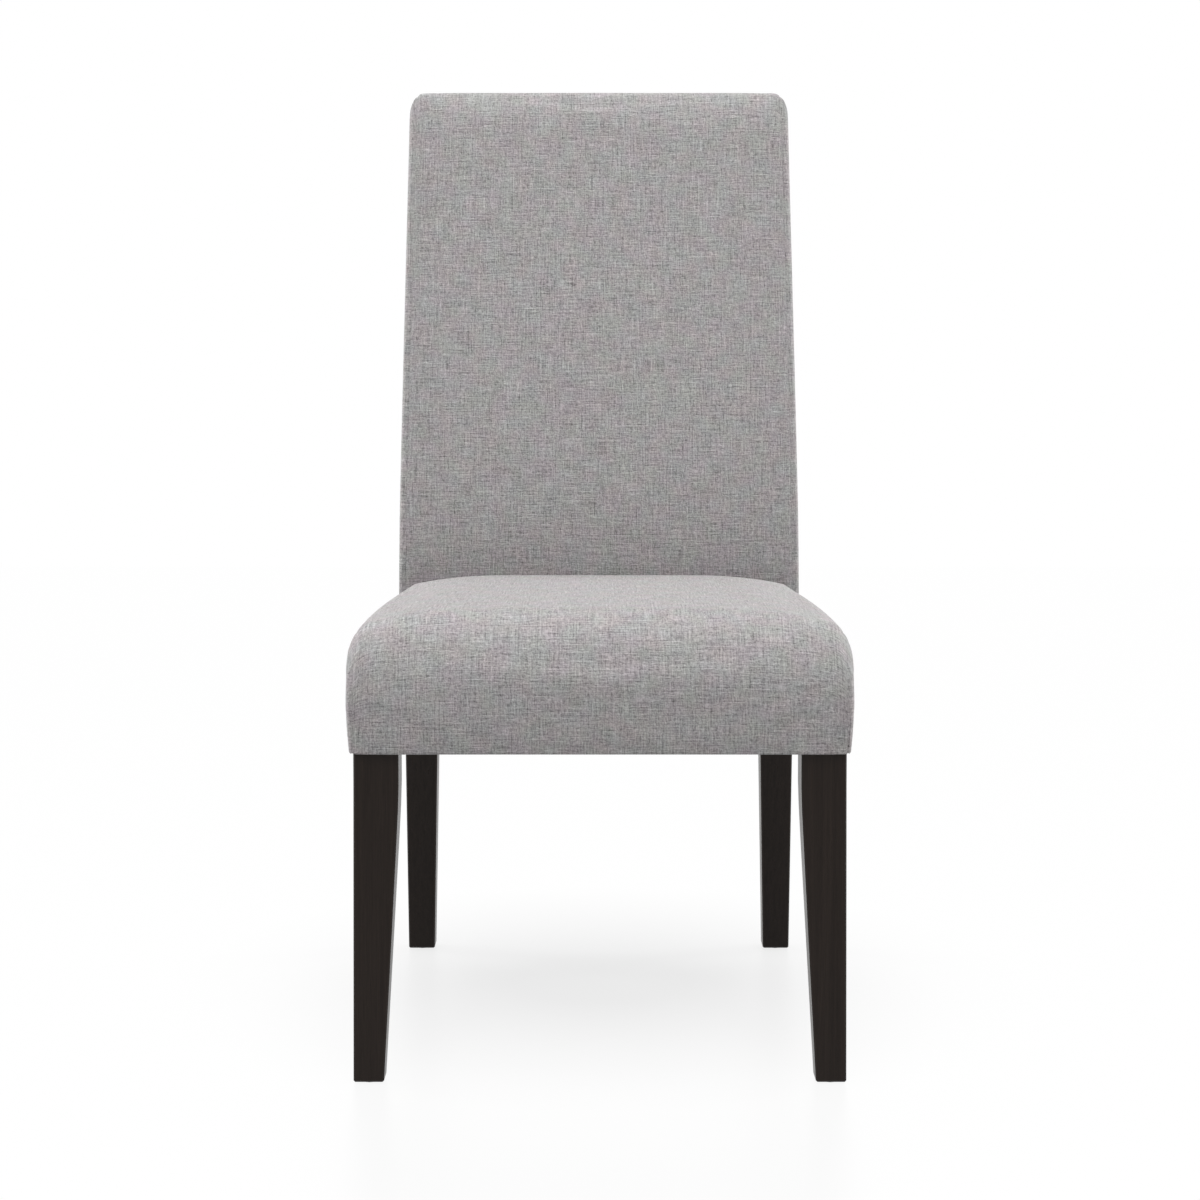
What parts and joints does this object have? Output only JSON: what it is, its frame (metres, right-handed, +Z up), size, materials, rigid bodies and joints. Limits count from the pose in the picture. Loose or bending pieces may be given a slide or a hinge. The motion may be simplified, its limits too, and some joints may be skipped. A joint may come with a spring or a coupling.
{
  "type": "dining chair",
  "caption": "Upholstered dining chair with a high reclined back, a padded seat that rolls over at the front, woven fabric covers and tapered dark wooden legs.",
  "frame": {"origin": "on the floor under the middle of the chair: halfway between its outermost front and rear, midway between its sides", "axes": "the chair faces -Y, +X is on the right of someone who stands in front of it, +Z is up"},
  "size_m": [0.4954, 0.644, 1.018],
  "materials": {
    "cover_fabric": "matte",
    "espresso_wood": "satin",
    "frame_wood": "matte",
    "dowel_wood": "matte",
    "webbing": "matte",
    "liner_cloth": "matte",
    "foam": "matte",
    "wadding": "matte",
    "dust_cloth": "matte",
    "glide_plastic": "satin",
    "screw_steel": "satin"
  },
  "bodies": {
    "root": {"front_leg_left": "espresso_wood", "front_leg_right": "espresso_wood", "rear_leg_left": "espresso_wood", "rear_leg_right": "espresso_wood", "seat_rail_front": "frame_wood", "seat_rail_rear": "frame_wood", "seat_rail_left": "frame_wood", "seat_rail_right": "frame_wood", "corner_block_front_left": "frame_wood", "corner_block_front_right": "frame_wood", "corner_block_rear_left": "frame_wood", "corner_block_rear_right": "frame_wood", "corner_screw_front_left_lower": "screw_steel", "corner_screw_front_left_upper": "screw_steel", "corner_screw_front_right_lower": "screw_steel", "corner_screw_front_right_upper": "screw_steel", "corner_screw_rear_left_lower": "screw_steel", "corner_screw_rear_left_upper": "screw_steel", "corner_screw_rear_right_lower": "screw_steel", "corner_screw_rear_right_upper": "screw_steel", "back_rail_lower": "frame_wood", "back_rail_middle": "frame_wood", "back_rail_top": "frame_wood", "dowel_lower_left_lower": "dowel_wood", "dowel_lower_left_upper": "dowel_wood", "dowel_lower_right_lower": "dowel_wood", "dowel_lower_right_upper": "dowel_wood", "dowel_middle_left_lower": "dowel_wood", "dowel_middle_left_upper": "dowel_wood", "dowel_middle_right_lower": "dowel_wood", "dowel_middle_right_upper": "dowel_wood", "dowel_top_left_lower": "dowel_wood", "dowel_top_left_upper": "dowel_wood", "dowel_top_right_lower": "dowel_wood", "dowel_top_right_upper": "dowel_wood", "seat_web_lengthwise_1": "webbing", "seat_web_lengthwise_2": "webbing", "seat_web_lengthwise_3": "webbing", "seat_web_lengthwise_4": "webbing", "seat_web_crosswise_1": "webbing", "seat_web_crosswise_2": "webbing", "seat_web_crosswise_3": "webbing", "seat_web_crosswise_4": "webbing", "back_web_1": "webbing", "back_web_2": "webbing", "back_web_3": "webbing", "deck_liner": "liner_cloth", "seat_foam": "foam", "back_foam": "foam", "seat_cover": "cover_fabric", "back_cover": "cover_fabric", "back_cover_rear": "cover_fabric", "back_padding_rear": "wadding", "dust_cover": "dust_cloth", "glide_front_left": "glide_plastic", "glide_front_right": "glide_plastic", "glide_rear_left": "glide_plastic", "glide_rear_right": "glide_plastic"}
  },
  "joints": []
}
